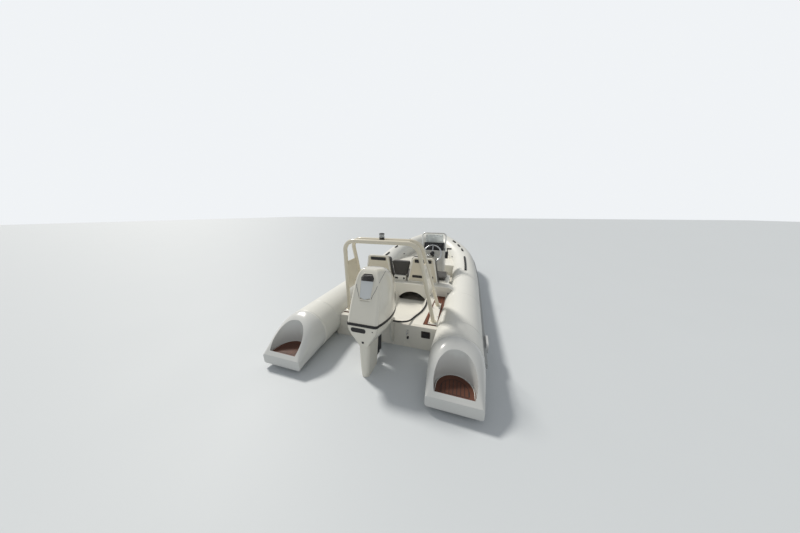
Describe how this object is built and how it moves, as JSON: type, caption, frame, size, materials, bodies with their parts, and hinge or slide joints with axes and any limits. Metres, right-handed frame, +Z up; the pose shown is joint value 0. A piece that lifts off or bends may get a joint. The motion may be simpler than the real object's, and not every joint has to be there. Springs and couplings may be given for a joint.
{
  "type": "rigid-hulled inflatable boat",
  "caption": "Rigid-hulled inflatable boat with a grey-white air collar, an aft arch, bench seats, a side helm console and a tilting outboard engine.",
  "frame": {"origin": "on the centre plane at the waterline, 2.6 m forward of the tubes' after tips", "axes": "+X to starboard, +Y toward the bow, +Z up"},
  "size_m": [2.6766, 5.8503, 1.9468],
  "materials": {
    "black_trim": "moulded",
    "cap_moulding": "smooth moulded plastic",
    "charcoal_upholstery": "marine vinyl",
    "clear_screen": "clear acrylic",
    "cream_shell": "moulded shell",
    "cream_tube": "powder coated aluminium",
    "engine_block": "cast",
    "engine_paint": "gloss off-white",
    "hose_rubber": "ribbed conduit",
    "light_housing": "black base with a clear lens",
    "propeller_paint": "black",
    "stainless": "polished stainless steel",
    "strake_rubber": "moulded rubber",
    "teak_foam": "brushed foam planks with dark caulk lines",
    "tube_fabric": "satin coated fabric",
    "wheel_trim": "silver rim with a black hub",
    "white_laminate": "glass-reinforced gelcoat"
  },
  "bodies": {
    "hull": {"aft_deck": "white_laminate", "arch_hoop_aft": "cream_tube", "arch_hoop_fore": "cream_tube", "arch_side_panels": "cream_tube", "arch_top_panel": "cream_tube", "bench": "white_laminate", "bench_hinges": "stainless", "bow_hinges": "stainless", "bow_locker": "white_laminate", "clamp_bracket": "engine_paint", "console": "white_laminate", "console_rail": "stainless", "dash": "black_trim", "end_pads": "teak_foam", "foot_plates": "cream_tube", "helm_column": "black_trim", "hull_shell": "white_laminate", "middle_box": "white_laminate", "middle_pad": "charcoal_upholstery", "mooring_cleat": "stainless", "nav_light": "light_housing", "rigging_hose": "hose_rubber", "rub_strake_port": "strake_rubber", "rub_strake_starboard": "strake_rubber", "seat_pad_port": "charcoal_upholstery", "seat_pad_starboard": "charcoal_upholstery", "seat_shell_port": "cream_shell", "seat_shell_starboard": "cream_shell", "side_pads": "teak_foam", "sole_panel": "teak_foam", "strake_holders": "strake_rubber", "throttle": "black_trim", "tow_eyes": "stainless", "transom": "white_laminate", "transom_hatch": "black_trim", "tube_bow_port": "tube_fabric", "tube_bow_starboard": "tube_fabric", "tube_end_port": "cap_moulding", "tube_end_starboard": "cap_moulding", "tube_handles": "black_trim", "tube_side_port": "tube_fabric", "tube_side_starboard": "tube_fabric", "windscreen": "clear_screen"},
    "tilt_bracket": {"swivel_bracket": "engine_paint"},
    "engine": {"cowl": "engine_paint", "gearcase": "engine_paint", "lower_pan": "engine_paint", "midsection": "engine_paint", "powerhead": "engine_block", "steering_pin": "engine_paint"},
    "propeller": {"propeller": "propeller_paint"},
    "helm": {"helm_wheel": "wheel_trim"},
    "bench_lid": {"bench_cushion": "charcoal_upholstery", "bench_lid": "white_laminate"},
    "bow_lid": {"bow_cushion": "charcoal_upholstery", "bow_lid": "white_laminate"}
  },
  "joints": [
    {"name": "engine_tilt", "type": "hinge", "parent": "hull", "child": "tilt_bracket", "pos_m": [0, -1.86, 0.395], "axis": [-1, 0, 0], "range_deg": [-8, 52]},
    {"name": "engine_steer", "type": "hinge", "parent": "tilt_bracket", "child": "engine", "pos_m": [0, -2.0241, 0.41225], "axis": [0, 0.1045, 0.9945], "range_deg": [-30, 30]},
    {"name": "propeller_spin", "type": "hinge", "parent": "engine", "child": "propeller", "pos_m": [0, -2.6309, -0.24291], "axis": [0, 0.9945, -0.1045], "continuous": true},
    {"name": "helm_turn", "type": "hinge", "parent": "hull", "child": "helm", "pos_m": [0.345, 0.09, 0.9], "axis": [0, -0.8829, 0.4695], "range_deg": [-420, 420]},
    {"name": "bench_lid_hinge", "type": "hinge", "parent": "hull", "child": "bench_lid", "pos_m": [0, -0.068, 0.5105], "axis": [-1, 0, 0], "range_deg": [0, 66]},
    {"name": "bow_lid_hinge", "type": "hinge", "parent": "hull", "child": "bow_lid", "pos_m": [0, 1.544, 0.4455], "axis": [-1, 0, 0], "range_deg": [0, 86]}
  ],
  "couplings": [
    {"joint": "helm_turn", "follows": "engine_steer", "ratio": 14}
  ]
}
